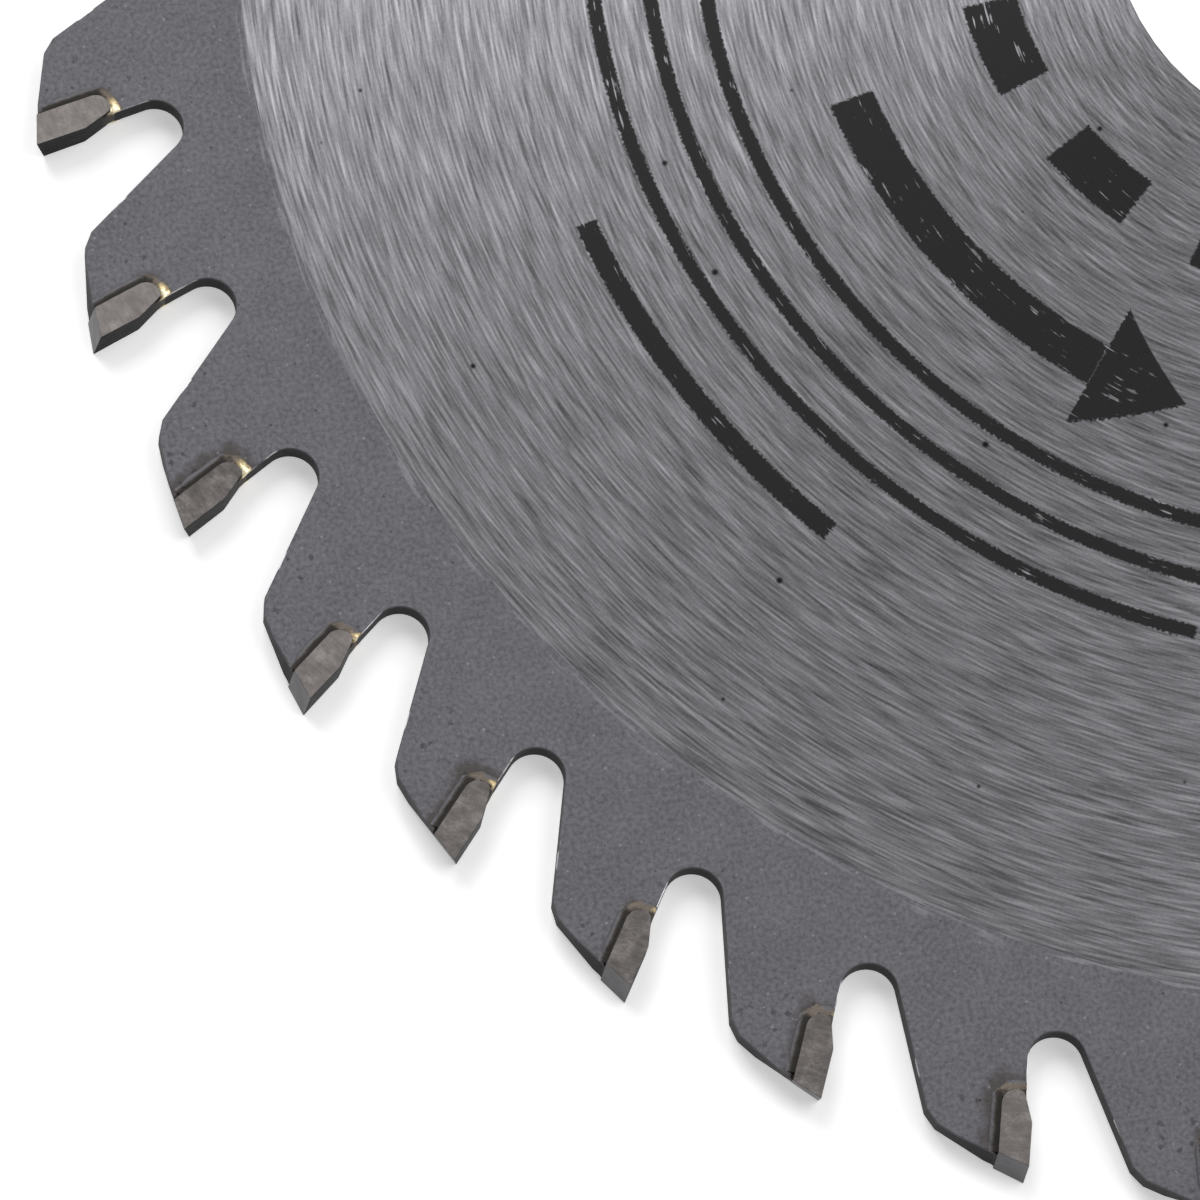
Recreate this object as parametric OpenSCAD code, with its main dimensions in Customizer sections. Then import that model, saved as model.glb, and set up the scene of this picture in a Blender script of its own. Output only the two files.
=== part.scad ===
// Circular saw blade with brazed carbide tips.
// The blade lies flat. The origin is on the bore axis, half-way through the plate, and +Z is the
// outer face. Seen from +Z the blade turns counter-clockwise.

/* [Blade] */
// Diameter over the cutting points
blade_d = 110; // [95:1:140]
// Diameter of the arbor bore
bore_d = 20; // [12:0.1:30]
// Thickness of the plate at the flange land
plate_t = 1.1; // [0.8:0.1:2]
// Diameter of the brushed flange land
land_d = 91.8; // [40:0.1:94]
// Depth that blasting takes off each face of the rim
rim_relief = 0.02; // [0.01:0.01:0.1]

/* [Teeth] */
// Number of teeth, even so that the top bevels alternate all round
tooth_count = 40; // [24:2:48]
// Lean of the cutting face ahead of the radius, in degrees
hook_angle = 10; // [0:1:20]
// Length of a tooth's top from the cutting point to the shoulder, round the blade
top_l = 4.4; // [3.4:0.1:5]
// Depth of the shoulder below the cutting points
shoulder_drop = 1; // [0.8:0.05:1.5]
// Length taken off each side of the shoulder's corner
shoulder_cut = 0.4; // [0.1:0.05:0.8]
// Depth of a gullet below the cutting points
gullet_depth = 6; // [5:0.1:8]
// Radius of a gullet's round bottom
gullet_r = 1.15; // [0.8:0.05:1.5]
// Distance of a gullet's front wall behind the cutting face
set_back = 0.3; // [0.1:0.05:0.4]

/* [Top grind] */
// Fall of the ground top behind the cutting point, in degrees
clearance_angle = 10; // [6:1:14]
// Slope of the ground top across the tooth, in degrees
bevel_angle = 10; // [5:1:15]

/* [Carbide tips] */
// Length of a tip along its cutting face
tip_l = 3.4; // [2.6:0.1:4]
// Thickness of a tip from its cutting face to its back
tip_t = 1.25; // [0.9:0.05:1.8]
// Height of a tip's cutting edge over the flange land
tip_side = 0.3; // [0.2:0.05:0.6]
// Taper of a tip's sides towards its root, in degrees
root_taper = 1.5; // [0.5:0.1:2]
// Taper of a tip's sides towards its back, in degrees
back_taper = 2; // [0.5:0.1:3]
// Length of the chamfer at the root of the cutting face
face_chamfer_l = 1.3; // [0.8:0.1:1.8]
// Depth of the chamfer at the root of the cutting face
face_chamfer_w = 0.4; // [0.3:0.05:0.5]
// Chamfer at the root of a tip's back
back_chamfer = 0.35; // [0.2:0.05:0.45]

/* [Braze] */
// Thickness of the braze between a tip and its notch
braze_t = 0.08; // [0.04:0.01:0.15]
// Length of the braze bead on the chamfered root of the cutting face
bead_l = 0.45; // [0.2:0.05:0.7]
// Width of the braze fillet on the rim
fillet_w = 0.36; // [0.2:0.02:0.5]
// Height of the braze fillet against the tip
fillet_h = 0.14; // [0.08:0.01:0.16]

/* [Hidden] */
pitch = 360 / tooth_count;
blade_r = blade_d / 2;
rim_t = plate_t - 2 * rim_relief;
kerf = plate_t + 2 * tip_side;

// A tooth is drawn with X along its cutting face, which puts the cutting point at (tip_x, face_y).
tip_x = blade_r * cos(hook_angle);
face_y = -blade_r * sin(hook_angle);
root_x = tip_x - tip_l;
back_y = face_y - tip_t;
wall_y = face_y - set_back;
cutting_point = [tip_x, face_y];

// The ground top falls at this angle to the tooth's Y axis.
top_angle = hook_angle + clearance_angle;
back_top = [tip_x - tip_t * tan(top_angle), back_y];

// The walls cut this far into the gullet's round bottom, so that they run into it cleanly.
blend = 0.004;
gullet_y = wall_y + gullet_r - blend;
gullet_x = sqrt(pow(blade_r - gullet_depth + gullet_r, 2) - pow(gullet_y, 2));
gullet = [gullet_x, gullet_y];

// Cuts run this far past the metal that they remove.
clear = 3;

$fn = 96;

function tip_name(i) = str("carbide_tip_", i < 10 ? "0" : "", i);
function polar(r, a) = r * [cos(a), sin(a)];
function turned(p, a) = polar(norm(p), atan2(p.y, p.x) + a);
function towards(p, q, l) = p + (q - p) * l / norm(q - p);
function side_up(i) = i % 2 == 0 ? -1 : 1;

// Where a line from p touches a circle of radius r about c, on the left when looking from c to p.
function touch(p, c, r) = c + polar(r, atan2(p.y - c.y, p.x - c.x) + acos(r / norm(p - c)));

// The root and back of a tip, g outside its own surface.
function seat_line(g) = let (corner = back_chamfer - g * tan(22.5)) [
    [root_x - g, back_y + corner],
    [root_x + corner, back_y - g],
    [tip_x + clear, back_y - g],
];

// Puts the drawing of one tooth in its place round the blade.
module at_tooth(i) rotate((i - 1) * pitch + hook_angle) children();

// The gap ahead of a tooth, bounded by the back and the top of the tooth ahead.
module tooth_gap() {
    shoulder = polar(blade_r - shoulder_drop, pitch - hook_angle - top_l / blade_r * 180 / PI);
    point_ahead = turned(cutting_point, pitch);
    top_ahead = turned(back_top, pitch);
    back_foot = touch(shoulder, gullet, gullet_r - blend);
    translate(gullet) circle(gullet_r);
    polygon([
        [gullet_x, wall_y],
        [tip_x + clear, wall_y],
        polar(blade_r + clear, pitch - hook_angle),
        point_ahead,
        top_ahead,
        towards(shoulder, top_ahead, shoulder_cut),
        towards(shoulder, back_foot, shoulder_cut),
        back_foot,
    ]);
}

// The notch that a tip is brazed into.
module tip_notch() polygon(concat(
    [[tip_x + clear, face_y], [root_x - braze_t, face_y]],
    seat_line(braze_t)
));

// A tip seen along the bore, before its top is ground.
module tip_outline() polygon(concat(
    [[tip_x + clear, face_y], [root_x + face_chamfer_l, face_y], [root_x, face_y - face_chamfer_w]],
    seat_line(0)
));

// What grinding takes off the top of tooth i, higher on one side than on the other.
module top_grind(i) translate([tip_x, face_y, side_up(i) * kerf / 2])
    rotate([0, side_up(i) * bevel_angle, -top_angle])
        translate([0, -top_l, -clear]) cube([2 * clear, top_l + clear, 2 * clear]);

// What grinding takes off one side of a tip, so that only the cutting edge has the full width.
module side_grind() translate([tip_x, face_y, kerf / 2]) rotate([back_taper, -root_taper, 0])
    translate([-tip_l - clear, -tip_t - clear, 0]) cube([tip_l + 3 * clear, tip_t + 3 * clear, clear]);

// What lies above a braze fillet that rises towards the tip, from a line through p at angle a.
module fillet_slope(p, a) translate([p.x, p.y, 0]) rotate(a) rotate([atan(fillet_h / fillet_w), 0, 0])
    translate([-tip_l - clear, -clear, 0]) cube([2 * (tip_l + clear), 2 * clear, clear]);

// The braze fillet round the root and back of a tip, on the rim's outer face.
module braze_fillet() {
    end_x = back_top.x - fillet_w;
    chamfer_mid = [root_x, back_y] + [1, 1] * back_chamfer / 2;
    translate([0, 0, rim_t / 2]) difference() {
        linear_extrude(fillet_h) difference() {
            polygon([
                [root_x - fillet_w, wall_y],
                [root_x - fillet_w, back_y - fillet_w],
                [end_x, back_y - fillet_w],
                [end_x, wall_y],
            ]);
            tip_outline();
            translate([root_x, face_y - face_chamfer_w]) square([tip_l, face_chamfer_w]);
        }
        fillet_slope([root_x, back_y - fillet_w], 0);
        fillet_slope(chamfer_mid - polar(fillet_w, 45), -45);
        fillet_slope([root_x - fillet_w, back_y], -90);
    }
}

// The braze between a tip and its notch, with the bead at the root of the cutting face.
module braze_layer() linear_extrude(rim_t, center = true) difference() {
    polygon(concat(
        [[root_x + bead_l, face_y - face_chamfer_w * (1 - bead_l / face_chamfer_l)]],
        [[root_x - braze_t, wall_y]],
        seat_line(braze_t),
        [[tip_x + clear, back_y]]
    ));
    tip_outline();
}

module braze_joint(i) at_tooth(i) difference() {
    union() {
        braze_layer();
        braze_fillet();
        mirror([0, 0, 1]) braze_fillet();
    }
    top_grind(i);
}

module braze_joints() color("#a88d55") for (i = [1:tooth_count]) braze_joint(i);

module carbide_tip(i) color("#7d7670") at_tooth(i) difference() {
    linear_extrude(kerf, center = true) tip_outline();
    side_grind();
    mirror([0, 0, 1]) side_grind();
    top_grind(i);
}

module blade_plate() color("#6e6f73") difference() {
    union() {
        linear_extrude(rim_t, center = true) difference() {
            circle(blade_r);
            for (i = [1:tooth_count]) at_tooth(i) {
                tooth_gap();
                tip_notch();
            }
        }
        cylinder(d = land_d, h = plate_t, center = true);
    }
    for (i = [1:tooth_count]) at_tooth(i) top_grind(i);
    cylinder(d = bore_d, h = plate_t + clear, center = true);
}

blade_plate();
braze_joints();
for (i = [1:tooth_count]) carbide_tip(i);
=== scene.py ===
"""Dressed model of a circular saw blade with brazed carbide tips, lying flat on a pale table."""
import logging
import math
import random
from dataclasses import dataclass
from enum import Enum, IntEnum
from typing import Any

import bpy
from mathutils import Matrix, Vector


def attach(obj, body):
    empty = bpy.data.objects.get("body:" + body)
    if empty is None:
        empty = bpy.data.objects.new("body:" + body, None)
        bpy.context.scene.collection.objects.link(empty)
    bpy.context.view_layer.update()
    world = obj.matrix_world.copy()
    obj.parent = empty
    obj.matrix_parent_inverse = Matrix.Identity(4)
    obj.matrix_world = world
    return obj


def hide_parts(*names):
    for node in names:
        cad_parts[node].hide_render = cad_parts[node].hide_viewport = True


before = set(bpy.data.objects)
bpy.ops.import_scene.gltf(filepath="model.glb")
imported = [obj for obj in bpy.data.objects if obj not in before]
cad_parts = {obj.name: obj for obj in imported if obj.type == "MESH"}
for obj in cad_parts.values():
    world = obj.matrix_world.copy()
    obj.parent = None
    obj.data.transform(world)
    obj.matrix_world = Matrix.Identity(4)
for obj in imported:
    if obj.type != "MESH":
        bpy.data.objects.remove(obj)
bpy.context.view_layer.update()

LOG = logging.getLogger("saw_blade")
MM = 0.001
TURN = 360.0
QUARTER = 90.0
TAU = 2 * math.pi
DEGREES = math.degrees(1.0)
MERGE_GAP = 0.0005 * MM
FLAT_ANGLE = math.radians(0.5)
NOISE_ROUGHNESS = 0.6

Value = Any  # A Wire, a number, a colour or a name, as a node's socket or option takes it.
Colour = tuple[float, float, float]
Span = tuple[float, float]
Shares = tuple[float, ...]


class Slot(Enum):
    """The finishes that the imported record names."""

    PLATE = "plate"
    CARBIDE = "carbide"
    BRAZE = "braze"


class Zone(IntEnum):
    """The plate's surfaces, in the order of its material slots."""

    LAND = 0
    RIM = 1
    WALL = 2
    EDGE = 3


class Reach(Enum):
    """How a pattern runs: over a face alone, or through the metal."""

    FACE = "2D"
    SOLID = "3D"


class Role(Enum):
    """What a lamp does for the picture."""

    KEY = "key_lamp"
    BACK = "back_lamp"


@dataclass(frozen=True)
class ToothForm:
    """The sizes of the blade and of one tooth, in millimetres and degrees, as the solids have them.

    A tooth has its own frame, with X along the cutting face and the bore axis at the origin.
    """

    count: int = 40
    blade_r: float = 55.0
    land_r: float = 45.9
    rim_z: float = 0.53
    land_z: float = 0.55
    hook: float = 10.0
    tip_l: float = 3.4
    tip_t: float = 1.25
    back_chamfer: float = 0.35
    top_slope: float = 20.0
    set_back: float = 0.3
    gullet_depth: float = 6.0
    gullet_r: float = 1.15
    behind: float = 6.0

    @property
    def pitch(self) -> float:
        """Angle from one tooth to the next."""
        return TURN / self.count

    @property
    def step_z(self) -> float:
        """Height half-way between the rim's face and the land's."""
        return (self.rim_z + self.land_z) / 2

    @property
    def tip_x(self) -> float:
        """Distance of the cutting point along the cutting face."""
        return self.blade_r * math.cos(math.radians(self.hook))

    @property
    def face_y(self) -> float:
        """Offset of the cutting face from the bore axis."""
        return -self.blade_r * math.sin(math.radians(self.hook))

    @property
    def root_x(self) -> float:
        """Distance of the tip's root along the cutting face."""
        return self.tip_x - self.tip_l

    @property
    def back_y(self) -> float:
        """Offset of the tip's back from the bore axis."""
        return self.face_y - self.tip_t

    @property
    def back_x(self) -> float:
        """Distance of the top of the tip's back along the cutting face."""
        return self.tip_x - self.tip_t * math.tan(math.radians(self.top_slope))

    @property
    def wall_y(self) -> float:
        """Offset of the gullet's front wall from the bore axis."""
        return self.face_y - self.set_back

    @property
    def gullet(self) -> tuple[float, float]:
        """Middle of the gullet's round bottom.

        Returns:
            Its X and Y.
        """
        y = self.wall_y + self.gullet_r
        reach = self.blade_r - self.gullet_depth + self.gullet_r
        return math.sqrt(reach ** 2 - y ** 2), y


TOOTH = ToothForm()


class Wire:
    """A value in a shader tree, which Python's own operators join into Math nodes."""

    def __init__(self, shader: "Shader", socket: bpy.types.NodeSocket) -> None:
        """Keep the socket and the tree that it belongs to.

        Args:
            shader: The shader that new nodes go into.
            socket: The output socket that carries the value.
        """
        self.shader = shader
        self.socket = socket

    def __add__(self, other: Value) -> "Wire":
        """Sum of two values."""
        return self.shader.math("ADD", self, other)

    def __radd__(self, other: Value) -> "Wire":
        """Sum of a number and this value."""
        return self.shader.math("ADD", other, self)

    def __sub__(self, other: Value) -> "Wire":
        """Difference of two values."""
        return self.shader.math("SUBTRACT", self, other)

    def __rsub__(self, other: Value) -> "Wire":
        """Difference of a number and this value."""
        return self.shader.math("SUBTRACT", other, self)

    def __mul__(self, other: Value) -> "Wire":
        """Product of two values."""
        return self.shader.math("MULTIPLY", self, other)

    def __rmul__(self, other: Value) -> "Wire":
        """Product of a number and this value."""
        return self.shader.math("MULTIPLY", other, self)

    def __truediv__(self, other: Value) -> "Wire":
        """Quotient of two values."""
        return self.shader.math("DIVIDE", self, other)

    def __mod__(self, other: Value) -> "Wire":
        """Remainder, never below zero."""
        return self.shader.math("FLOORED_MODULO", self, other)

    def __abs__(self) -> "Wire":
        """This value without its sign."""
        return self.shader.math("ABSOLUTE", self)


class Shader:
    """A node tree, with the few kinds of node that the finishes are written in."""

    def __init__(self, owner: bpy.types.Material | bpy.types.World) -> None:
        """Start an empty tree.

        Args:
            owner: The material or world that the tree belongs to.
        """
        owner.use_nodes = True
        self.owner = owner
        self.tree = owner.node_tree
        self.tree.nodes.clear()

    @classmethod
    def named(cls, name: str) -> "Shader":
        """Start the tree of a new material."""
        return cls(bpy.data.materials.new(name))

    def node(self, kind: str, settings: dict[str, Value], sockets: dict[str, Value]) -> bpy.types.Node:
        """Add a node, set its options first and then its sockets.

        Args:
            kind: The node's Blender type.
            settings: Options of the node by name.
            sockets: Values or links of its inputs by identifier.

        Returns:
            The new node.
        """
        made = self.tree.nodes.new(kind)
        for option, value in settings.items():
            setattr(made, option, value)
        inputs = {socket.identifier: socket for socket in made.inputs}
        for key, value in sockets.items():
            if isinstance(value, Wire):
                self.tree.links.new(value.socket, inputs[key])
            else:
                inputs[key].default_value = value
        return made

    def out(self, made: bpy.types.Node, key: str) -> Wire:
        """One output of a node, by its identifier."""
        return Wire(self, next(socket for socket in made.outputs if socket.identifier == key))

    def math(self, operation: str, *values: Value) -> Wire:
        """Add a Math node.

        Args:
            operation: The node's operation.
            values: Up to three numbers or wires.

        Returns:
            The result.
        """
        keys = ("Value", "Value_001", "Value_002")
        made = self.node("ShaderNodeMath", {"operation": operation}, dict(zip(keys, values)))
        return self.out(made, "Value")

    def smooth(self, value: Value, low: float, high: float) -> Wire:
        """Go softly from 0 at low to 1 at high.

        Args:
            value: The value to map.
            low: Where the result is 0.
            high: Where the result is 1, which may be below low.

        Returns:
            The mapped value.
        """
        made = self.node(
            "ShaderNodeMapRange",
            {"interpolation_type": "SMOOTHSTEP"},
            {"Value": value, "From Min": low, "From Max": high},
        )
        return self.out(made, "Result")

    def band(self, value: Value, low: float, high: float, soft: float) -> Wire:
        """A mask that is 1 from low to high, with edges twice as wide as soft."""
        return self.smooth(value, low - soft, low + soft) * self.smooth(value, high + soft, high - soft)

    def largest(self, *values: Value) -> Wire:
        """The largest of several values.

        Args:
            values: Two or more wires or numbers.

        Returns:
            The largest.
        """
        result = values[0]
        for value in values[1:]:
            result = self.math("MAXIMUM", result, value)
        return result

    def weighed(self, shares: Shares, *values: Wire) -> Wire:
        """Sum of several values, each times its own share.

        Args:
            shares: One factor for each value.
            values: The values.

        Returns:
            The sum.
        """
        total = values[0] * shares[0]
        for value, share in zip(values[1:], shares[1:]):
            total = total + value * share
        return total

    def length(self, x: Wire, y: Wire) -> Wire:
        """Length of a flat vector."""
        return self.math("SQRT", x * x + y * y)

    def point(self, x: Value, y: Value, z: Value) -> Wire:
        """A vector from three values."""
        return self.out(self.node("ShaderNodeCombineXYZ", {}, {"X": x, "Y": y, "Z": z}), "Vector")

    def split(self, vector: Wire) -> tuple[Wire, Wire, Wire]:
        """The three values of a vector."""
        made = self.node("ShaderNodeSeparateXYZ", {}, {"Vector": vector})
        return self.out(made, "X"), self.out(made, "Y"), self.out(made, "Z")

    def noise(self, vector: Wire, scale: float, detail: float, reach: Reach = Reach.SOLID) -> Wire:
        """Fractal noise from 0 to 1.

        Args:
            vector: Where to read it.
            scale: Grains to a unit of the vector.
            detail: Number of finer layers.
            reach: Whether it runs over a face alone or through the metal.

        Returns:
            The noise value.
        """
        made = self.node(
            "ShaderNodeTexNoise",
            {"noise_dimensions": reach.value},
            {"Vector": vector, "Scale": scale, "Detail": detail, "Roughness": NOISE_ROUGHNESS},
        )
        return self.out(made, "Fac")

    def dice(self, value: Value) -> Wire:
        """A fixed chance value from 0 to 1 for each number."""
        made = self.node("ShaderNodeTexWhiteNoise", {"noise_dimensions": "1D"}, {"W": value})
        return self.out(made, "Value")

    def mix(self, share: Value, first: Value, second: Value) -> Wire:
        """Blend two colours.

        Args:
            share: How much of the second, from 0 to 1.
            first: A colour or wire.
            second: A colour or wire.

        Returns:
            The blended colour.
        """
        first, second = (v if isinstance(v, Wire) else (*v, 1.0) for v in (first, second))
        made = self.node(
            "ShaderNodeMix",
            {"data_type": "RGBA", "clamp_factor": True},
            {"Factor_Float": share, "A_Color": first, "B_Color": second},
        )
        return self.out(made, "Result_Color")

    def scaled(self, colour: Value, amount: Value) -> Wire:
        """A colour or a place times a value."""
        sockets = {"Vector": colour, "Scale": amount}
        return self.out(self.node("ShaderNodeVectorMath", {"operation": "SCALE"}, sockets), "Vector")

    def bump(self, height: Wire, depth: float) -> Wire:
        """The normal of a height from 0 to 1, which stands for a depth in millimetres."""
        sockets = {"Height": height, "Strength": 1.0, "Distance": depth * MM}
        return self.out(self.node("ShaderNodeBump", {}, sockets), "Normal")

    def surface(self, sockets: dict[str, Value]) -> bpy.types.Material:
        """Close the tree with a Principled shader.

        Args:
            sockets: Values or links of the shader's inputs.

        Returns:
            The finished material.
        """
        body = self.node("ShaderNodeBsdfPrincipled", {}, sockets)
        self.node("ShaderNodeOutputMaterial", {}, {"Surface": self.out(body, "BSDF")})
        return self.owner


class Place:
    """Where a point of the blade is, in millimetres and round the bore."""

    def __init__(self, shader: Shader) -> None:
        """Work the place out from Object coordinates.

        Args:
            shader: The shader that the nodes go into.
        """
        source = shader.node("ShaderNodeTexCoord", {}, {})
        self.shader = shader
        self.at = shader.scaled(shader.out(source, "Object"), 1.0 / MM)
        self.x, self.y, self.z = shader.split(self.at)
        self.r = shader.length(self.x, self.y)
        self.turn = shader.math("ARCTAN2", self.y, self.x)
        self.normal = shader.split(shader.out(source, "Normal"))

    def up(self) -> Wire:
        """How far the surface looks along the bore, from -1 to 1."""
        return self.normal[2]

    def outward(self) -> Wire:
        """How far the surface looks away from the bore, from -1 to 1."""
        return (self.normal[0] * self.x + self.normal[1] * self.y) / self.r


class ToothPlace(Place):
    """Where a point is in its own tooth's frame."""

    def __init__(self, shader: Shader) -> None:
        """Turn the place back to the first tooth.

        Args:
            shader: The shader that the nodes go into.
        """
        super().__init__(shader)
        steps = (self.turn * DEGREES + TOOTH.behind) / TOOTH.pitch
        self.number = shader.math("FLOOR", steps)
        lean = (steps - self.number) * math.radians(TOOTH.pitch) - math.radians(TOOTH.behind + TOOTH.hook)
        self.along = self.r * shader.math("COSINE", lean)
        self.across = self.r * shader.math("SINE", lean)

    def off_tip(self) -> Wire:
        """Distance from a tip's root and back.

        Returns:
            The distance, 0 beside the tip.
        """
        past_root = self.shader.largest(TOOTH.root_x - self.along, 0.0)
        past_back = self.shader.largest(TOOTH.back_y - self.across, 0.0)
        return self.shader.length(past_root, past_back)


@dataclass(frozen=True)
class Grain:
    """Fractal noise over the blade, in grains to a millimetre."""

    scale: float
    detail: float = 2.0
    reach: Reach = Reach.SOLID

    def read(self, place: Place) -> Wire:
        """The noise at a place, from 0 to 1."""
        return place.shader.noise(place.at, self.scale, self.detail, self.reach)


@dataclass(frozen=True)
class Lines:
    """Noise that is drawn out into lines, in grains to a millimetre each way."""

    x: float
    y: float
    z: float
    detail: float = 2.0

    def read(self, x: Wire, y: Wire, z: Wire) -> Wire:
        """The noise at a place with three values, from 0 to 1."""
        shader = x.shader
        return shader.noise(shader.point(x * self.x, y * self.y, z * self.z), 1.0, self.detail)


@dataclass(frozen=True)
class Specks:
    """Scattered soft spots, by their number to a millimetre and their share of the spacing."""

    scale: float
    size: float
    soft: float = 0.4

    def mask(self, place: Place, ragged: Value = 0.0) -> Wire:
        """Where the spots are, from 0 to 1.

        Args:
            place: The point's place.
            ragged: What is added to the distance from a spot's middle.

        Returns:
            The mask.
        """
        shader = place.shader
        made = shader.node(
            "ShaderNodeTexVoronoi",
            {"voronoi_dimensions": Reach.FACE.value},
            {"Vector": place.at, "Scale": self.scale},
        )
        chance = shader.split(shader.out(made, "Color"))[0]
        edge = self.soft * self.size
        return shader.smooth(shader.out(made, "Distance") + ragged - chance * self.size, edge, -edge)


@dataclass(frozen=True)
class Brushing:
    """One pass of brushing, whose strokes run round the bore on a slow spiral.

    Each narrow ring of it starts at its own angle, so that no seam shows where the turn ends.
    """

    spiral: float
    fine: float
    along: float
    detail: float
    rings: float = 5.0
    spread: float = 2.4

    def strokes(self, place: Place) -> Wire:
        """Streaks along the brushing.

        Args:
            place: The point's place.

        Returns:
            The streaks, from 0 to 1.
        """
        shader = place.shader
        start = (shader.dice(shader.math("FLOOR", place.r * self.rings)) - 0.5) * self.spread
        turn = (place.turn - start) % TAU + start
        across = (place.r - turn * self.spiral) * self.fine
        streaks = shader.point(across, turn * place.r * self.along, 0.0)
        return shader.noise(streaks, 1.0, self.detail, Reach.FACE)


@dataclass(frozen=True)
class InkMark:
    """Plain printed arcs on the outer face, in millimetres and degrees."""

    r: float
    width: float
    start: float
    end: float
    rows: int = 1
    step: float = 1.0
    lap: float = TURN


@dataclass(frozen=True)
class PrintInk:
    """Worn black print: a turning arrow with plain arcs and bars round the bore."""

    colour: Colour = (0.016, 0.016, 0.017)
    arrow: InkMark = InkMark(22.4, 1.9, 190.0, 229.0)
    head_l: float = 10.0
    head_w: float = 5.6
    arcs: tuple[InkMark, ...] = (
        InkMark(27.0, 0.6, 173.0, 245.0, rows=3, step=2.3),
        InkMark(34.6, 0.9, 192.0, 219.0),
        InkMark(15.6, 2.3, 8.0, 22.0, lap=25.0),
    )
    sector: Span = (175.0, 250.0)
    sector_edge: float = 0.5
    edge: float = 0.05
    ragged: float = 0.2
    patches: Grain = Grain(0.9, 3.0, Reach.FACE)
    wear_parts: Shares = (0.5, 0.6)
    worn: Span = (0.78, 0.7)
    outer_face: Span = (0.5, 0.9)

    def mask(self, place: Place, strokes: Wire, grain: Wire) -> Wire:
        """Where the ink is, from 0 to 1.

        Args:
            place: The point's place.
            strokes: The brushing under the ink, which wears it.
            grain: The fine grain of the metal, which makes its edges ragged.

        Returns:
            The mask.
        """
        shader = place.shader
        ragged = (grain - 0.5) * self.ragged
        r = place.r + ragged
        turn = (place.turn + ragged / place.r) * DEGREES % TURN
        marks = [self._arc(shader, r, turn, mark) for mark in (*self.arcs, self.arrow)]
        reach = turn - self.arrow.end
        half = (1.0 - reach / self.head_l) * (self.head_w / 2)
        head = shader.smooth(half - abs(r - self.arrow.r), -self.edge, self.edge)
        marks.append(head * shader.smooth(reach, -self.edge, self.edge))
        worn = shader.weighed(self.wear_parts, self.patches.read(place), strokes)
        ink = shader.largest(*marks) * shader.band(turn, *self.sector, self.sector_edge)
        return ink * shader.smooth(worn, *self.worn) * shader.smooth(place.up(), *self.outer_face)

    def _arc(self, shader: Shader, r: Wire, turn: Wire, mark: InkMark) -> Wire:
        """The mask of one kind of arc.

        Args:
            shader: The shader that the nodes go into.
            r: Distance from the bore axis.
            turn: Angle round the bore, in degrees.
            mark: The arc.

        Returns:
            The mask.
        """
        off = r - mark.r
        inside = shader.band(turn % mark.lap, mark.start, mark.end, math.degrees(self.edge / mark.r))
        if mark.rows > 1:
            half = mark.step / 2
            inside = inside * shader.band(off, -half, (mark.rows - 0.5) * mark.step, self.edge)
            off = (off + half) % mark.step - half
        return inside * shader.smooth(mark.width / 2 - abs(off), -self.edge, self.edge)


@dataclass(frozen=True)
class BrushedLand:
    """The flange land: circular brushing, with worn print on the outer face."""

    steel: Colour = (0.305, 0.301, 0.32)
    dot: Colour = (0.03, 0.03, 0.032)
    passes: tuple[Brushing, ...] = (
        Brushing(1.5, 7.6, 0.48, 1.0),
        Brushing(-1.8, 8.2, 0.54, 1.0),
        Brushing(0.2, 3.4, 0.28, 2.0),
    )
    contrast: float = 0.42
    scratch: Brushing = Brushing(0.9, 8.5, 0.4, 0.0)
    light: Span = (0.6, 0.7)
    dark: Span = (0.4, 0.3)
    scratched: float = 0.13
    grain: Grain = Grain(7.0, 1.0, Reach.FACE)
    grainy: float = 0.16
    dots: Specks = Specks(0.11, 0.018)
    ink: PrintInk = PrintInk()
    rough: float = 0.45
    rough_parts: Shares = (0.08, 0.1)
    brushed: float = 0.86
    brushed_turn: float = 0.25
    specular: float = 0.3
    depth: float = 0.012

    def material(self) -> bpy.types.Material:
        """Build the land's material.

        Returns:
            The material.
        """
        shader = Shader.named("brushed_land")
        place = Place(shader)
        grain = self.grain.read(place)
        layers = [brushing.strokes(place) for brushing in self.passes]
        strokes = layers[0]
        tone = (grain - 0.5) * self.grainy + 1.0
        for layer in layers:
            tone = tone + (layer - 0.5) * self.contrast
        scratch = self.scratch.strokes(place)
        tone = tone + shader.smooth(scratch, *self.light) * self.scratched
        tone = tone - shader.smooth(scratch, *self.dark) * self.scratched
        ink = self.ink.mask(place, strokes, grain)
        colour = shader.scaled(self.steel, tone * tone)
        colour = shader.mix(self.dots.mask(place), colour, self.dot)
        return shader.surface({
            "Base Color": shader.mix(ink, colour, self.ink.colour),
            "Metallic": 1.0 - ink,
            "Roughness": self.rough + shader.weighed(self.rough_parts, strokes, ink),
            "Anisotropic": self.brushed,
            "Anisotropic Rotation": self.brushed_turn,
            "Specular IOR Level": self.specular,
            "Normal": shader.bump(strokes, self.depth),
        })


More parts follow.
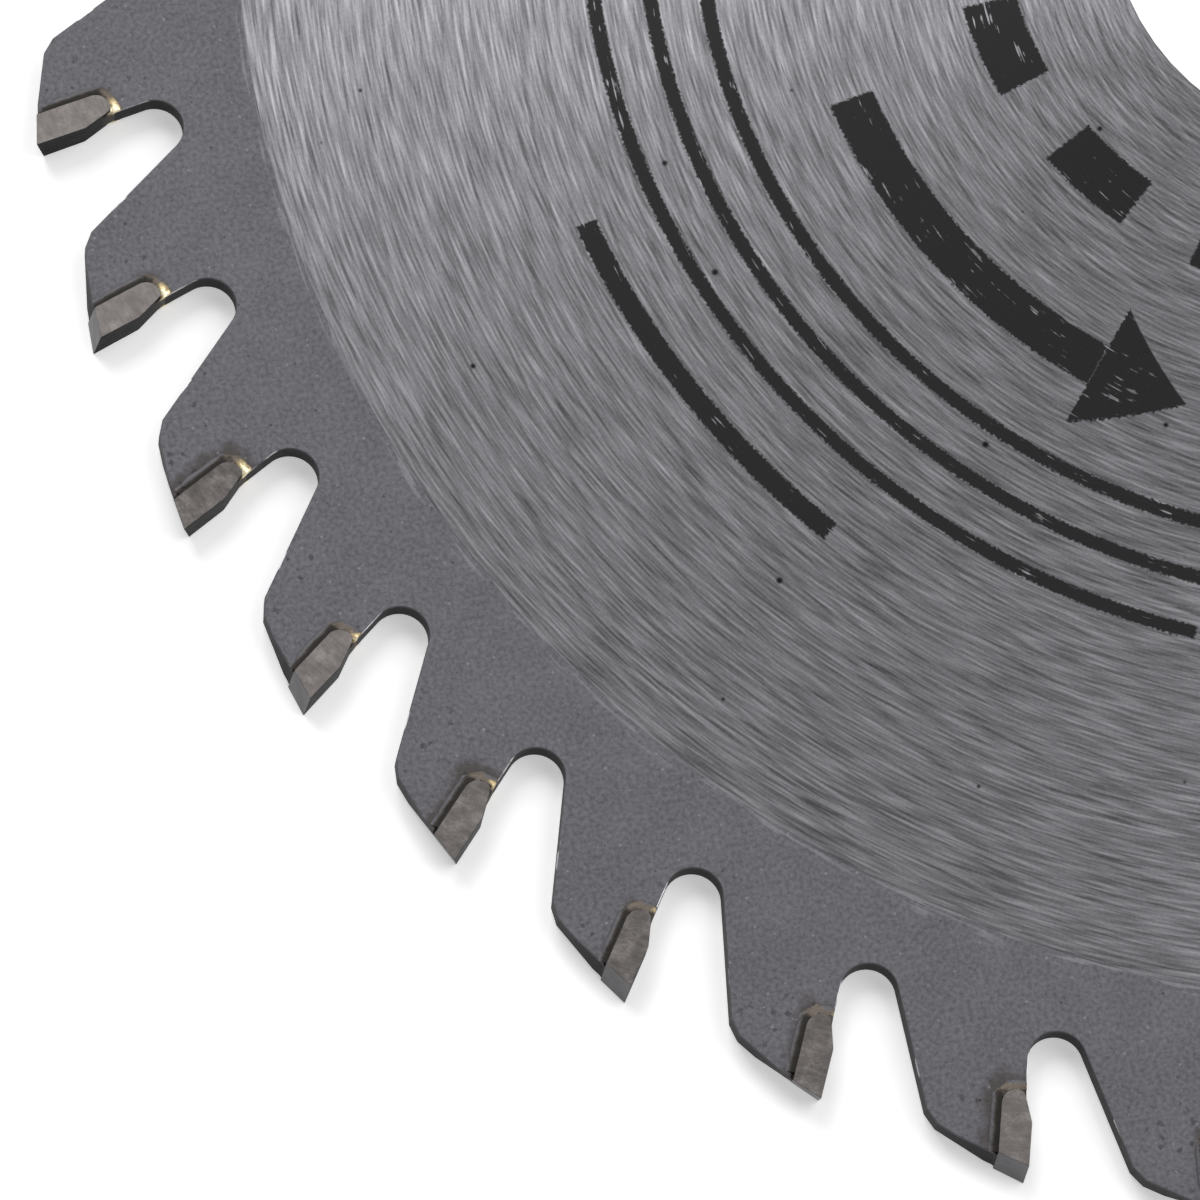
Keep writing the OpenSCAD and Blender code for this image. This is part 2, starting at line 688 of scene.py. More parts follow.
@dataclass(frozen=True)
class BlastedRim:
    """The rim: fine matt grain, pits, stray brush strokes, stains from brazing, and painted glints."""

    steel: Colour = (0.168, 0.165, 0.181)
    pit: Colour = (0.035, 0.035, 0.037)
    # Pale tone for the stray strokes, and for the painted glints on the grain.
    spark: Colour = (0.55, 0.55, 0.56)
    stain: Colour = (0.075, 0.063, 0.056)
    grain: Grain = Grain(5.5, 3.0, Reach.FACE)
    cloud: Grain = Grain(0.4, 2.0, Reach.FACE)
    tones: Shares = (1.25, 0.25)
    tone_base: float = 0.25
    stray: Brushing = Brushing(1.5, 5.0, 0.35, 1.0)
    stray_edge: Span = (0.5, 0.66)
    stray_cloud: float = 1.3
    stray_width: float = 0.65
    stray_share: float = 0.24
    glints: Specks = Specks(0.9, 0.055)
    glint_share: float = 0.25
    pits: Specks = Specks(1.5, 0.2)
    pit_ragged: float = 0.5
    pit_cloud: Span = (0.46, 0.6)
    pit_r: Span = (48.0, 52.5)
    pit_share: float = 0.5
    dots: Specks = Specks(0.5, 0.028)
    dot_share: float = 0.6
    patch: Grain = Grain(1.3, 2.0, Reach.FACE)
    patch_parts: Shares = (0.7, 0.3, 0.5)
    stain_reach: float = 1.1
    stain_fade: Span = (-0.05, -0.65)
    stain_share: float = 0.7
    wall_soft: float = 0.05
    metallic: float = 0.9
    rough: float = 0.6
    rough_grain: float = 0.14
    specular: float = 0.3
    depth: float = 0.01

    def material(self) -> bpy.types.Material:
        """Build the rim's material.

        Returns:
            The material.
        """
        shader = Shader.named("blasted_rim")
        place = ToothPlace(shader)
        grain = self.grain.read(place)
        cloud = self.cloud.read(place)
        edge = place.r - cloud * self.stray_cloud
        stray = shader.smooth(self.stray.strokes(place), *self.stray_edge)
        stray = stray * shader.smooth(edge, TOOTH.land_r, TOOTH.land_r - self.stray_width)
        pits = self.pits.mask(place, (grain - 0.5) * self.pit_ragged)
        pits = pits * shader.smooth(cloud, *self.pit_cloud) * shader.smooth(place.r, *self.pit_r)

        colour = shader.scaled(self.steel, shader.weighed(self.tones, grain, cloud) + self.tone_base)
        for share, over in (
            (stray * self.stray_share, self.spark),
            (self._stain(place, cloud) * self.stain_share, self.stain),
            # Painted glints: scattered pale flecks on the grain.
            (self.glints.mask(place) * self.glint_share, self.spark),
            (pits * self.pit_share, self.pit),
            (self.dots.mask(place) * self.dot_share, self.pit),
        ):
            colour = shader.mix(share, colour, over)
        return shader.surface({
            "Base Color": colour,
            "Metallic": self.metallic,
            "Roughness": self.rough + grain * self.rough_grain,
            "Specular IOR Level": self.specular,
            "Normal": shader.bump(grain, self.depth),
        })

    def _stain(self, place: ToothPlace, cloud: Wire) -> Wire:
        """Heat and flux stain round a tip's seat.

        Args:
            place: The point's place.
            cloud: Slow variation over the rim.

        Returns:
            The mask.
        """
        shader = place.shader
        chance = shader.dice(place.number)
        patch = shader.weighed(self.patch_parts, self.patch.read(place), cloud, chance)
        soft = self.wall_soft
        behind = shader.smooth(place.across, TOOTH.wall_y + soft, TOOTH.wall_y - soft)
        return shader.smooth(place.off_tip() - patch * self.stain_reach, *self.stain_fade) * behind


@dataclass(frozen=True)
class CutWall:
    """The cut walls of the teeth, gullets and bore: painted nearly black as shade, with a mottle and fine
    drag lines.
    """

    # Painted shade: the walls are coloured nearly black and kept hardly metallic.
    steel: Colour = (0.022, 0.022, 0.024)
    drag: Lines = Lines(5.0, 5.0, 0.6)
    scale: Grain = Grain(1.4)
    tones: Shares = (0.9, 0.6)
    tone_base: float = 0.25
    metallic: float = 0.1
    rough: float = 0.5
    rough_scale: float = 0.2
    specular: float = 0.1
    depth: float = 0.02

    def material(self) -> bpy.types.Material:
        """Build the walls' material.

        Returns:
            The material.
        """
        shader = Shader.named("cut_wall")
        place = Place(shader)
        drag = self.drag.read(place.x, place.y, place.z)
        scale = self.scale.read(place)
        tone = shader.weighed(self.tones, drag, scale) + self.tone_base
        return shader.surface({
            "Base Color": shader.scaled(self.steel, tone),
            "Metallic": self.metallic,
            "Roughness": self.rough + scale * self.rough_scale,
            "Specular IOR Level": self.specular,
            "Normal": shader.bump(drag, self.depth),
        })


@dataclass(frozen=True)
class WornAndHighlitEdge:
    """The softened edges, where the matt grain is rubbed bright in places, with a painted highlight along
    the front wall's edges.
    """

    # Pale metal for the rubbed wear, and for the painted highlight along the front wall's edges.
    bright: Colour = (0.75, 0.74, 0.76)
    dull: Colour = (0.12, 0.118, 0.125)
    wear: Grain = Grain(1.1, 3.0)
    wear_parts: Shares = (0.6, 0.4)
    rubbed_and_highlit: Span = (0.55, 0.76)
    front_soft: float = 0.3
    wall_soft: float = 0.2
    metallic: float = 0.95
    rough: float = 0.55
    rough_rubbed: float = 0.2
    specular: float = 0.3

    def material(self) -> bpy.types.Material:
        """Build the edges' material.

        Returns:
            The material.
        """
        shader = Shader.named("worn_and_highlit_edge")
        place = ToothPlace(shader)
        gullet_x, gullet_y = TOOTH.gullet
        near, far = gullet_y - self.wall_soft, TOOTH.wall_y + self.wall_soft
        # Painted highlight: the front wall's edges between gullet and root are made brighter, on top of the
        # wear noise.
        front = shader.band(place.along, gullet_x - self.front_soft, TOOTH.root_x, self.front_soft)
        front = front * shader.smooth(place.across, near, far)
        worn = shader.weighed(self.wear_parts, self.wear.read(place), front)
        rubbed_and_highlit = shader.smooth(worn, *self.rubbed_and_highlit)
        return shader.surface({
            "Base Color": shader.mix(rubbed_and_highlit, self.dull, self.bright),
            "Metallic": self.metallic,
            "Roughness": self.rough - rubbed_and_highlit * self.rough_rubbed,
            "Specular IOR Level": self.specular,
        })


@dataclass(frozen=True)
class Carbide:
    """The tips: warm grey sintered sides with painted glints, a ground top and a cutting face painted
    nearly black as shade.

    chance_from was searched for, so that the tones of the eight teeth in view suit the photograph.
    """

    side: Colour = (0.168, 0.153, 0.147)
    ground: Colour = (0.113, 0.11, 0.115)
    # Painted shade: the cutting face is coloured nearly black.
    face: Colour = (0.007, 0.007, 0.0075)
    # Pale tone of the painted glints on the sintered sides.
    spark: Colour = (0.6, 0.57, 0.53)
    mottle: Grain = Grain(1.7)
    grain: Grain = Grain(9.0)
    lines: Lines = Lines(1.5, 14.0, 14.0, 1.0)
    line_share: float = 0.5
    line_base: float = 0.75
    streaks: Lines = Lines(6.5, 1.1, 3.7)
    chance_from: float = 55472.25
    side_up: Span = (0.5, 0.9)
    top_out: Span = (0.5, 0.8)
    tones: Shares = (0.75, 0.3, 0.65, 0.41)
    tone_base: float = -0.06
    glint_parts: Shares = (0.6, 0.4)
    glint_edge: Span = (0.5, 0.66)
    glint_share: float = 0.09
    metallic: float = 0.75
    rough: float = 0.42
    rough_side: float = 0.1
    rough_grain: float = 0.14
    rough_mottle: float = 0.08
    specular: float = 0.02
    bumps: Shares = (0.35, 0.65)
    depth: float = 0.03

    def material(self) -> bpy.types.Material:
        """Build the tips' material.

        Returns:
            The material.
        """
        shader = Shader.named("sintered_carbide")
        place = ToothPlace(shader)
        mottle = self.mottle.read(place)
        grain = self.grain.read(place)
        lines = self.lines.read(place.along, place.across, place.z)
        streaks = self.streaks.read(place.along, place.across, place.number)
        chance = shader.dice(place.number + self.chance_from)
        side = shader.smooth(abs(place.up()), *self.side_up)
        top = shader.smooth(place.outward(), *self.top_out)

        cut = shader.mix(top, self.face, self.ground)
        cut = shader.scaled(cut, lines * self.line_share + self.line_base)
        tone = shader.weighed(self.tones, mottle, grain, streaks, chance) + self.tone_base
        # Painted glints: pale flecks where mottle and grain are high.
        glints = shader.smooth(shader.weighed(self.glint_parts, mottle, grain), *self.glint_edge)
        warm = shader.mix(glints * self.glint_share, shader.scaled(self.side, tone), self.spark)
        rough = self.rough + side * (self.rough_side + grain * self.rough_grain)
        return shader.surface({
            "Base Color": shader.mix(side, cut, warm),
            "Metallic": shader.largest(side, top) * self.metallic,
            "Roughness": rough - mottle * self.rough_mottle,
            "Specular IOR Level": self.specular,
            "Normal": shader.bump(shader.weighed(self.bumps, grain, mottle), self.depth),
        })


@dataclass(frozen=True)
class BrazeMetal:
    """The braze: a bright gold bead with a painted highlight in its middle at the root's front, tan round
    the root, burnt along the back, and painted shade in the groove beside the tip's back.

    chance_from was searched for, so that the gold on the eight teeth in view suits the photograph.
    """

    gold: Colour = (0.6, 0.47, 0.25)
    # Painted highlight in the middle of the gold bead.
    pale: Colour = (0.93, 0.83, 0.58)
    tan: Colour = (0.16, 0.133, 0.11)
    burnt: Colour = (0.045, 0.036, 0.029)
    ash: Colour = (0.094, 0.086, 0.084)
    skin: Colour = (0.132, 0.129, 0.139)
    # Painted shade in the groove beside the tip's back.
    groove_shade: Colour = (0.016, 0.014, 0.012)
    lumps: Grain = Grain(2.6)
    fine: Grain = Grain(10.0)
    bead_r: float = 0.42
    bead_past: float = 0.1
    bead_squeeze: Span = (1.4, 0.7)
    bead_solid: float = 0.4
    bead_highlight: Span = (0.6, 0.2)
    chance_from: float = 85420.75
    chance_spread: float = 0.5
    chance_base: float = -0.36
    low: Span = (0.53, 0.36)
    low_share: float = 0.8
    back: Span = (0.2, 0.42)
    back_ragged: float = 0.15
    root: Span = (-0.35, 0.1)
    root_ragged: float = 0.7
    outside: Span = (0.24, 0.38)
    outside_ragged: float = 0.1
    groove: Span = (0.3, 0.08)
    groove_end: Span = (0.0, -0.3)
    groove_ragged: float = 0.25
    groove_share: float = 0.9
    fine_share: float = 0.8
    fine_base: float = 0.6
    metallic: float = 0.4
    metallic_gold: float = 0.6
    rough: float = 0.55
    rough_parts: Shares = (-0.3, 0.1)
    specular: float = 0.3
    bumps: Shares = (0.75, 0.25)
    depth: float = 0.04

    def material(self) -> bpy.types.Material:
        """Build the braze's material.

        Returns:
            The material.
        """
        shader = Shader.named("braze_metal")
        place = ToothPlace(shader)
        lumps = self.lumps.read(place)
        fine = self.fine.read(place)
        past = TOOTH.root_x - place.along + (lumps - 0.5) * self.root_ragged
        behind = TOOTH.back_y - place.across
        outside = shader.largest(past, behind) + lumps * self.outside_ragged
        # Darker below the face's level, down the walls: the braze there takes the burnt colour.
        low = shader.smooth(abs(place.z), *self.low)
        bead, highlight_core = self._bead(place, past)
        bright = bead * (1.0 - low)
        # Painted shade: the braze is darkened nearly black in the groove beside the tip's back.
        groove = shader.smooth(behind + (lumps - 0.5) * self.groove_ragged, *self.groove)
        groove = groove * shader.smooth(past, *self.groove_end)

        ashen = shader.smooth(behind + lumps * self.back_ragged, *self.back)
        colour = shader.mix(ashen, self.burnt, self.ash)
        for share, over in (
            (shader.smooth(past, *self.root), self.tan),
            (shader.smooth(outside, *self.outside), self.skin),
            (low * self.low_share, self.burnt),
            (bright, shader.mix(highlight_core, self.gold, self.pale)),
        ):
            colour = shader.mix(share, colour, over)
        colour = shader.scaled(colour, fine * self.fine_share + self.fine_base)
        return shader.surface({
            "Base Color": shader.mix(groove * self.groove_share, colour, self.groove_shade),
            "Metallic": self.metallic + bright * self.metallic_gold,
            "Roughness": self.rough + shader.weighed(self.rough_parts, bright, fine),
            "Specular IOR Level": self.specular,
            "Normal": shader.bump(shader.weighed(self.bumps, lumps, fine), self.depth),
        })

    def _bead(self, place: ToothPlace, past: Wire) -> tuple[Wire, Wire]:
        """The bright bead at the root's front, which is larger on some teeth, with a painted highlight in
        its middle.

        Args:
            place: The point's place.
            past: How far the point is past the tip's root.

        Returns:
            The masks of the bead and of its painted highlight in the middle.
        """
        shader = place.shader
        along, across = self.bead_squeeze
        off = shader.length((past - self.bead_past) * along, (place.across - TOOTH.wall_y) * across)
        # The bead's size from tooth to tooth stands in for the light falling off along the teeth in view:
        # painted light.
        chance = shader.dice(place.number + self.chance_from)
        off = off - (chance * self.chance_spread + self.chance_base)
        spans = (1.0, self.bead_solid), self.bead_highlight
        bead, highlight_core = (shader.smooth(off, *(self.bead_r * share for share in span)) for span in spans)
        return bead, highlight_core


@dataclass
class BladePlate:
    """The steel plate, with its punched edges softened."""

    node: str = "blade_plate"
    edge: float = 0.04
    segments: int = 2
    sharp: float = 28.0
    smooth: float = 20.0
    face_up: float = 0.985
    wall_up: float = 0.3
    step: float = 0.3
    proud: float = 0.004
    run_out: float = 0.6
    crisp: float = 1.2

    def build(self) -> bpy.types.Object:
        """Copy the plate, round its edges and lay the land's step back into a slope.

        Returns:
            The plate's piece.
        """
        piece = merged_copies([self.node], ["blade_body"])[0]
        bpy.ops.mesh.select_all(action="DESELECT")
        bpy.ops.mesh.select_mode(type="EDGE")
        bpy.ops.object.mode_set(mode="OBJECT")
        self._pick_edges(piece.data)
        bpy.ops.object.mode_set(mode="EDIT")
        round_edges(self.edge, self.segments)
        self._run_out(piece.data)
        bpy.ops.object.shade_smooth_by_angle(angle=math.radians(self.smooth))
        return piece

    def _run_out(self, mesh: bpy.types.Mesh) -> None:
        """Lay the land's thin step back into a shallow slope, with its foot where it was.

        Args:
            mesh: The plate's mesh, in edit mode, which is left in object mode.
        """
        bpy.ops.mesh.select_mode(type="VERT")
        bpy.ops.mesh.select_all(action="DESELECT")
        bpy.ops.object.mode_set(mode="OBJECT")
        for vertex in mesh.vertices:
            high = abs(vertex.co.z) > TOOTH.step_z * MM
            vertex.select = high and self._off_step(vertex.co) < self.step
        bpy.ops.object.mode_set(mode="EDIT")
        factor = 1.0 - self.run_out / TOOTH.land_r
        bpy.ops.transform.resize(value=(factor, factor, 1.0), center_override=(0.0, 0.0, 0.0))
        bpy.ops.mesh.select_all(action="DESELECT")
        bpy.ops.object.mode_set(mode="OBJECT")
        for edge in mesh.edges:
            ends = (mesh.vertices[i].co for i in edge.vertices)
            edge.use_edge_sharp = all(self._off_step(end) < self.crisp for end in ends)

    def _off_step(self, point: Vector) -> float:
        """Distance of a point from the land's step in plan, in millimetres."""
        return abs(point.xy.length / MM - TOOTH.land_r)

    def _pick_edges(self, mesh: bpy.types.Mesh) -> None:
        """Select the outline's edges on both faces, without the step of the land.

        Args:
            mesh: The plate's mesh.
        """
        lies = {}
        for face in mesh.polygons:
            for key in face.edge_keys:
                lies.setdefault(key, []).append(face.normal)
        for edge in mesh.edges:
            first, second = (mesh.vertices[i].co for i in edge.vertices)
            normals = lies[edge.key]
            level = abs(first.z - second.z) < self.edge * MM
            step = self._off_step((first + second) / 2) < self.step
            bent = len(normals) == 2 and normals[0].angle(normals[1]) > math.radians(self.sharp)
            edge.select = bent and level and not step

    def dress(self, piece: bpy.types.Object) -> None:
        """Give each surface its finish, and the plate its place in the frame.

        Args:
            piece: The plate's piece.
        """
        finishes = {
            Zone.LAND: BrushedLand(),
            Zone.RIM: BlastedRim(),
            Zone.WALL: CutWall(),
            Zone.EDGE: WornAndHighlitEdge(),
        }
        piece.data.materials.clear()
        for zone in Zone:
            piece.data.materials.append(finishes[zone].material())
        for face in piece.data.polygons:
            face.material_index = self._zone(face)
        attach(piece, "root")
        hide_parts(self.node)

    def _zone(self, face: bpy.types.MeshPolygon) -> Zone:
        """Tell which surface a face belongs to.

        Args:
            face: The face.

        Returns:
            The surface.
        """
        up = abs(face.normal.z)
        if up < self.face_up:
            return Zone.WALL if up < self.wall_up else Zone.EDGE
        return Zone.LAND if abs(face.center.z) > (TOOTH.rim_z + self.proud) * MM else Zone.RIM


@dataclass
class CarbideTips:
    """The forty ground tips, with rounded roots and their edges a little dulled."""

    edge: float = 0.025
    segments: int = 2
    sharp: float = 20.0
    root_round: float = 0.2
    root_segments: int = 3
    root_reach: float = 0.5
    upright: float = 0.5

    def build(self) -> list[bpy.types.Object]:
        """Copy the tips and round their edges.

        Returns:
            The tips' pieces.
        """
        numbers = range(1, TOOTH.count + 1)
        pieces = merged_copies([f"carbide_tip_{i:02d}" for i in numbers], [f"tip_{i:02d}" for i in numbers])
        bpy.ops.mesh.select_all(action="DESELECT")
        bpy.ops.mesh.select_mode(type="EDGE")
        bpy.ops.object.mode_set(mode="OBJECT")
        for index, piece in enumerate(pieces):
            self._pick_root(piece.data, index)
        bpy.ops.object.mode_set(mode="EDIT")
        round_edges(self.root_round, self.root_segments)
        bpy.ops.mesh.select_all(action="DESELECT")
        bpy.ops.mesh.edges_select_sharp(sharpness=math.radians(self.sharp))
        round_edges(self.edge, self.segments)
        bpy.ops.object.mode_set(mode="OBJECT")
        bpy.ops.object.shade_smooth_by_angle(angle=math.radians(self.sharp))
        return pieces

    def _pick_root(self, mesh: bpy.types.Mesh, index: int) -> None:
        """Select the upright edges at a tip's root.

        Args:
            mesh: The tip's mesh.
            index: The tooth's place round the blade, from 0.
        """
        turn = Matrix.Rotation(-math.radians(index * TOOTH.pitch + TOOTH.hook), 3, "Z")
        for edge in mesh.edges:
            first, second = (turn @ mesh.vertices[i].co / MM for i in edge.vertices)
            upright = abs(first.z - second.z) > self.upright
            edge.select = upright and max(first.x, second.x) < TOOTH.root_x + self.root_reach

    def dress(self, pieces: list[bpy.types.Object]) -> None:
        """Give every tip its carbide and its place in the frame.

        Args:
            pieces: The tips' pieces, in order.
        """
        finish = Carbide().material()
        for number, piece in enumerate(pieces, 1):
            wear(piece, finish)
            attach(piece, "root")
            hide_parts(f"carbide_tip_{number:02d}")


@dataclass
class BrazeJoints:
    """The braze: the CAD's thin seats, with a lumpy bead round every tip on both faces."""

    node: str = "braze_joints"
    width: float = 0.4
    height: float = 0.11
    sides: int = 10
    kinds: int = 4
    root_steps: int = 3
    back_steps: int = 5
    swell: float = 0.22
    end_taper: float = 0.55
    rounding: int = 1
    sharp: float = 30.0
    seed: int = 11

    def build(self) -> bpy.types.Object:
        """Model a few kinds of bead, copy them round the blade and join them to the seats.

        Returns:
            The braze's piece.
        """
        chance = random.Random(self.seed)
        beads = [self._bead(chance) for _ in range(self.kinds)]
        seats = merged_copies([self.node], ["braze_seams"])[0]
        bpy.ops.object.mode_set(mode="OBJECT")
        bpy.ops.object.shade_smooth_by_angle(angle=math.radians(self.sharp))
        parts = [self._copy(beads, tooth, side) for tooth in range(TOOTH.count) for side in (1, -1)]
        for bead in beads:
            bpy.data.objects.remove(bead)
        bpy.ops.object.select_all(action="DESELECT")
        for part in (*parts, seats):
            part.select_set(True)
        bpy.context.view_layer.objects.active = seats
        bpy.ops.object.join()
        return seats

    def _copy(self, beads: list[bpy.types.Object], tooth: int, side: int) -> bpy.types.Object:
        """Copy one of the beads to a tooth.

        Args:
            beads: The kinds of bead, in the first tooth's frame.
            tooth: The tooth's place round the blade, from 0.
            side: 1 for the outer face, -1 for the underside.

        Returns:
            The copy.
        """
        bead = beads[(tooth * 2 + (side < 0) + tooth // self.kinds) % self.kinds]
        copy = bead.copy()
        copy.data = bead.data.copy()
        bpy.context.scene.collection.objects.link(copy)
        turn = Matrix.Rotation(math.radians(tooth * TOOTH.pitch + TOOTH.hook), 4, "Z")
        copy.data.transform(turn @ Matrix.Diagonal((1.0, 1.0, side, 1.0)))
        if side < 0:
            copy.data.flip_normals()
        return copy

    def _path(self) -> list[tuple[Vector, float]]:
        """The bead's way round a tip's root and back, in the first tooth's frame.

        Returns:
            Places in metres, each with the bead's heading in degrees from -Y.
        """
        corner = TOOTH.back_chamfer
        end_x = TOOTH.back_x - self.width
        front, turn_y, turn_x = TOOTH.wall_y, TOOTH.back_y + corner, TOOTH.root_x + corner
        legs = []
        for step in range(self.root_steps):
            legs.append((TOOTH.root_x, front - (front - turn_y) * step / self.root_steps, 0.0))
        legs += [(TOOTH.root_x, turn_y, QUARTER / 4), (turn_x, TOOTH.back_y, QUARTER * 3 / 4)]
        for step in range(1, self.back_steps + 1):
            legs.append((turn_x + (end_x - turn_x) * step / self.back_steps, TOOTH.back_y, QUARTER))
        return [(Vector((x, y, TOOTH.rim_z)) * MM, heading) for x, y, heading in legs]

    def _bead(self, chance: random.Random) -> bpy.types.Object:
        """Draw one bead by extruding a flat round along the path.

        Args:
            chance: The source of its lumps.

        Returns:
            The bead.
        """
        path = self._path()
        bpy.ops.object.select_all(action="DESELECT")
        bpy.ops.mesh.primitive_circle_add(
            vertices=self.sides,
            radius=MM,
            fill_type="NGON",
            rotation=(math.radians(QUARTER), 0.0, 0.0),
            location=path[0][0],
        )
        bead = bpy.context.active_object
        bead.name = "bead"
        bpy.ops.object.transform_apply(location=True, rotation=True, scale=True)
        bpy.ops.object.mode_set(mode="EDIT")
        bpy.ops.mesh.select_all(action="SELECT")
        taper = self.end_taper
        self._swell(path[0][0], Vector((self.width * taper, 1.0, self.height * taper)))
        here, heading, girth = path[0][0], 0.0, taper
        for step, (place, ahead) in enumerate(path):
            end = step == len(path) - 1
            wanted = taper if end else 1.0 + chance.random() * self.swell
            bpy.ops.mesh.extrude_region_move(TRANSFORM_OT_translate={"value": place - here})
            here = place
            if ahead != heading:
                bpy.ops.transform.rotate(
                    value=-math.radians(ahead - heading), orient_axis="Z", center_override=here
                )
                heading = ahead
            self._swell(here, Vector((1.0, 1.0, 1.0)) * (wanted / girth))
            girth = wanted
        bpy.ops.mesh.select_all(action="SELECT")
        bpy.ops.mesh.normals_make_consistent(inside=False)
        bpy.ops.object.mode_set(mode="OBJECT")
        rounding = bead.modifiers.new("rounding", "SUBSURF")
        rounding.levels = rounding.render_levels = self.rounding
        bpy.ops.object.modifier_apply(modifier=rounding.name)
        bpy.ops.object.shade_smooth()
        return bead

    def _swell(self, centre: Vector, factor: Vector) -> None:
        """Scale what is selected about a point."""
        bpy.ops.transform.resize(value=factor, center_override=centre)

    def dress(self, piece: bpy.types.Object) -> None:
        """Give the braze its metal and its place in the frame.

        Args:
            piece: The braze's piece.
        """
        wear(piece, BrazeMetal().material())
        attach(piece, "root")
        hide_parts(self.node)


@dataclass
class Lamp:
    """A soft square lamp that looks at the blade from a direction.

    Its share is how bright it alone makes a white level face, where 1 is white.
    """

    role: Role
    azimuth: float
    elevation: float
    size: float
    share: float
    distance: float = 0.9

    def place(self, aim: Vector) -> None:
        """Hang the lamp.

        Args:
            aim: The point that it looks at.
        """
        light = bpy.data.lights.new(self.role.value, "AREA")
        light.shape = "SQUARE"
        light.size = self.size
        slant = math.sin(math.radians(self.elevation))
        light.energy = self.share * math.pi ** 2 * self.distance ** 2 / slant
        lamp = bpy.data.objects.new(self.role.value, light)
        bpy.context.scene.collection.objects.link(lamp)
        out = direction(self.azimuth, self.elevation)
        turn = out.to_track_quat("Z", "Y").to_matrix().to_4x4()
        lamp.matrix_world = Matrix.Translation(aim + out * self.distance) @ turn
        lamp.visible_camera = False


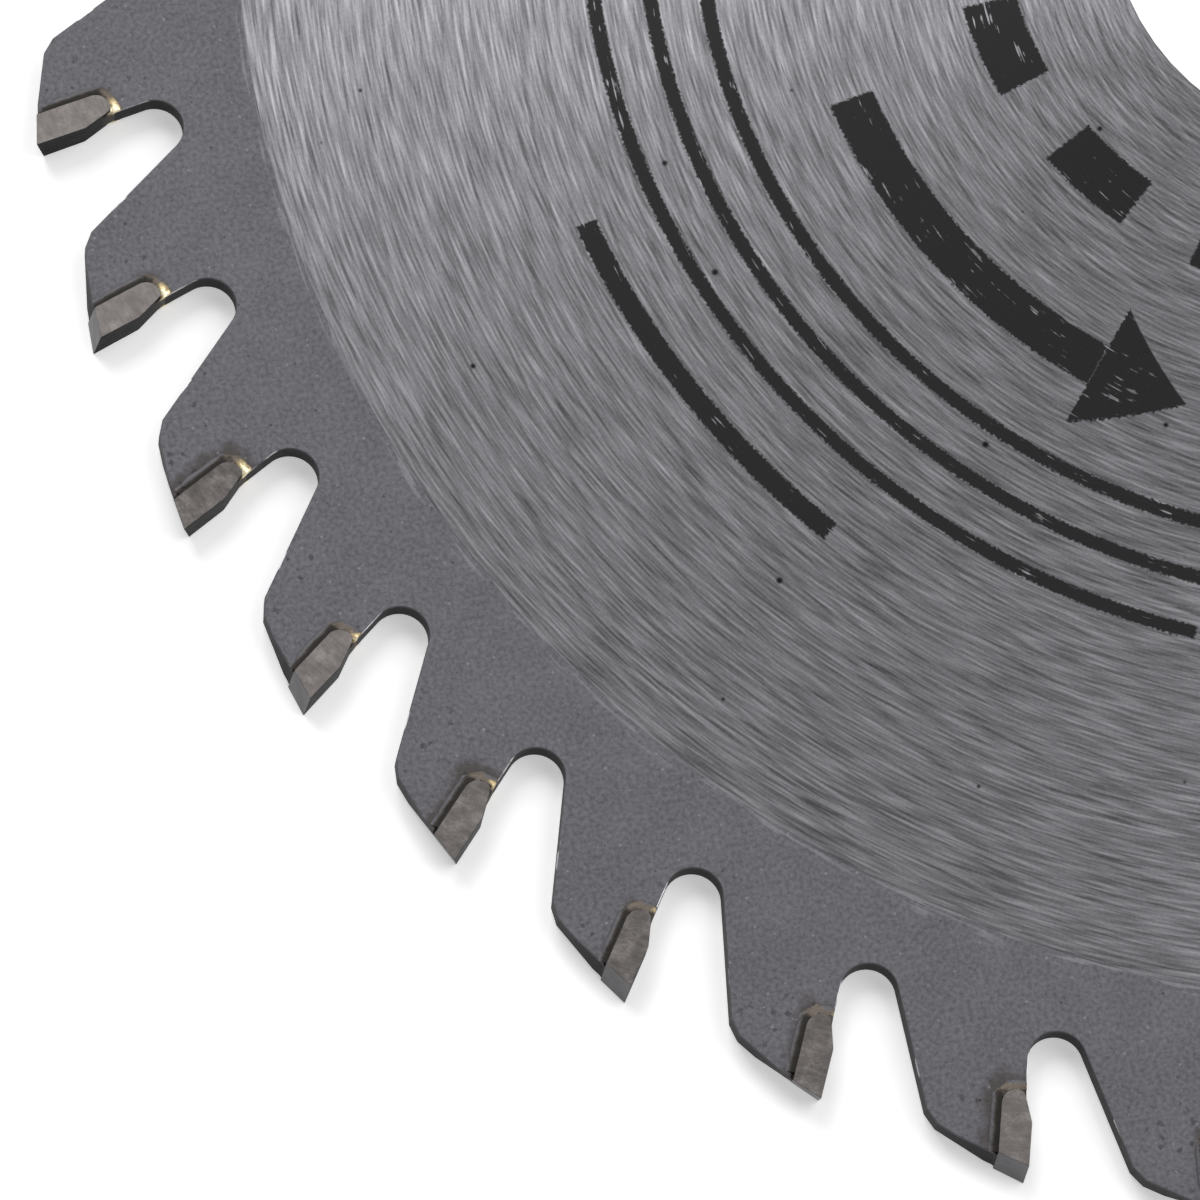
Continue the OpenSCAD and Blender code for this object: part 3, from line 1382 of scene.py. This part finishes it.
@dataclass
class Stage:
    """The table, lamps and camera."""

    floor_z: float = -0.85
    floor_side: float = 6000.0
    floor_colour: Colour = (0.9, 0.9, 0.9)
    lift: float = 0.42
    horizon: float = 1.0
    ceiling: float = 0.15
    wall_top: Span = (0.1, 0.7)
    aim_r: float = 43.13
    aim_angle: float = 211.99
    view_distance: float = 318.7
    view_azimuth: float = 243.88
    view_tilt: float = 17.24
    up_angle: float = 78.0
    lens: float = 240.0
    sensor: float = 36.0
    clip: Span = (0.01, 20.0)
    lamps: tuple[Lamp, ...] = (
        Lamp(Role.KEY, 7.5, 53.6, 0.78, 0.34),
        Lamp(Role.BACK, 100.8, 48.1, 0.51, 0.42),
    )

    @property
    def aim(self) -> Vector:
        """The point in the middle of the picture."""
        turn = math.radians(self.aim_angle)
        return Vector((self.aim_r * math.cos(turn), self.aim_r * math.sin(turn), TOOTH.rim_z)) * MM

    def build(self) -> None:
        """Lay the table, hang the lamps and set the camera."""
        self._floor()
        self._world()
        for lamp in self.lamps:
            lamp.place(self.aim)
        self._camera()

    def _floor(self) -> None:
        """Lay a pale table under the blade, shown a little whiter than it is lit."""
        bpy.ops.object.select_all(action="DESELECT")
        bpy.ops.mesh.primitive_plane_add(size=self.floor_side * MM, location=(0.0, 0.0, self.floor_z * MM))
        floor = bpy.context.active_object
        floor.name = "table"
        shader = Shader.named("pale_table")
        path = shader.node("ShaderNodeLightPath", {}, {})
        rays = ("Is Camera Ray", "Is Glossy Ray", "Is Transmission Ray")
        seen = shader.largest(*(shader.out(path, ray) for ray in rays))
        paper = shader.node("ShaderNodeBsdfDiffuse", {}, {"Color": (*self.floor_colour, 1.0)})
        glow = shader.node("ShaderNodeEmission", {}, {"Strength": seen * self.lift})
        lit = shader.node(
            "ShaderNodeAddShader",
            {},
            {"Shader": shader.out(paper, "BSDF"), "Shader_001": shader.out(glow, "Emission")},
        )
        shader.node("ShaderNodeOutputMaterial", {}, {"Surface": shader.out(lit, "Shader")})
        wear(floor, shader.owner)

    def _world(self) -> None:
        """Put the blade in a room with white walls and a dimmer ceiling."""
        world = bpy.data.worlds.new("room")
        bpy.context.scene.world = world
        shader = Shader(world)
        source = shader.node("ShaderNodeTexCoord", {}, {})
        rise = shader.split(shader.out(source, "Generated"))[2]
        strength = self.horizon - shader.smooth(rise, *self.wall_top) * (self.horizon - self.ceiling)
        back = shader.node("ShaderNodeBackground", {}, {"Strength": strength})
        shader.node("ShaderNodeOutputWorld", {}, {"Surface": shader.out(back, "Background")})

    def _camera(self) -> None:
        """Stand the camera where the photograph was taken from."""
        scene = bpy.context.scene
        lens = bpy.data.cameras.new("camera")
        lens.lens = self.lens
        lens.sensor_width = self.sensor
        lens.clip_start, lens.clip_end = self.clip
        camera = bpy.data.objects.new("camera", lens)
        scene.collection.objects.link(camera)
        back = direction(self.view_azimuth, QUARTER - self.view_tilt)
        right = direction(self.up_angle, 0.0).cross(back).normalized()
        turn = Matrix((right, back.cross(right), back)).transposed().to_4x4()
        camera.matrix_world = Matrix.Translation(self.aim + back * self.view_distance * MM) @ turn
        scene.camera = camera
        scene.view_settings.view_transform = "Standard"


def direction(azimuth: float, elevation: float) -> Vector:
    """The unit vector towards a place in the room.

    Args:
        azimuth: Angle round the bore from +X, in degrees.
        elevation: Angle over the table, in degrees.

    Returns:
        The unit vector.
    """
    turn, rise = math.radians(azimuth), math.radians(elevation)
    return Vector((math.cos(rise) * math.cos(turn), math.cos(rise) * math.sin(turn), math.sin(rise)))


def merged_copies(nodes: list[str], names: list[str]) -> list[bpy.types.Object]:
    """Copy CAD nodes into new pieces and merge their loose triangles, leaving edit mode on.

    Args:
        nodes: The CAD nodes' names.
        names: The new pieces' names.

    Returns:
        The new pieces, selected and in edit mode.
    """
    pieces = []
    bpy.ops.object.select_all(action="DESELECT")
    for node, name in zip(nodes, names):
        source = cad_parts[node]
        piece = source.copy()
        piece.data = source.data.copy()
        piece.name = piece.data.name = name
        bpy.context.scene.collection.objects.link(piece)
        piece.select_set(True)
        bpy.context.view_layer.objects.active = piece
        bpy.ops.mesh.customdata_custom_splitnormals_clear()
        pieces.append(piece)
    bpy.ops.object.mode_set(mode="EDIT")
    bpy.ops.mesh.select_all(action="SELECT")
    bpy.ops.mesh.remove_doubles(threshold=MERGE_GAP)
    bpy.ops.mesh.dissolve_limited(angle_limit=FLAT_ANGLE)
    return pieces


def round_edges(width: float, segments: int) -> None:
    """Bevel the selected edges to a width in millimetres."""
    bpy.ops.mesh.bevel(offset=width * MM, segments=segments, affect="EDGES", clamp_overlap=False)


def wear(piece: bpy.types.Object, finish: bpy.types.Material) -> None:
    """Put one finish on a whole piece."""
    piece.data.materials.clear()
    piece.data.materials.append(finish)


def main() -> None:
    """Build and dress the blade, then the stage."""
    logging.basicConfig(level=logging.INFO)
    for part in (BladePlate(), CarbideTips(), BrazeJoints()):
        made = part.build()
        part.dress(made)
        for piece in made if isinstance(made, list) else [made]:
            LOG.info("%s: %d faces", piece.name, len(piece.data.polygons))
    Stage().build()


if __name__ == "__main__":
    main()
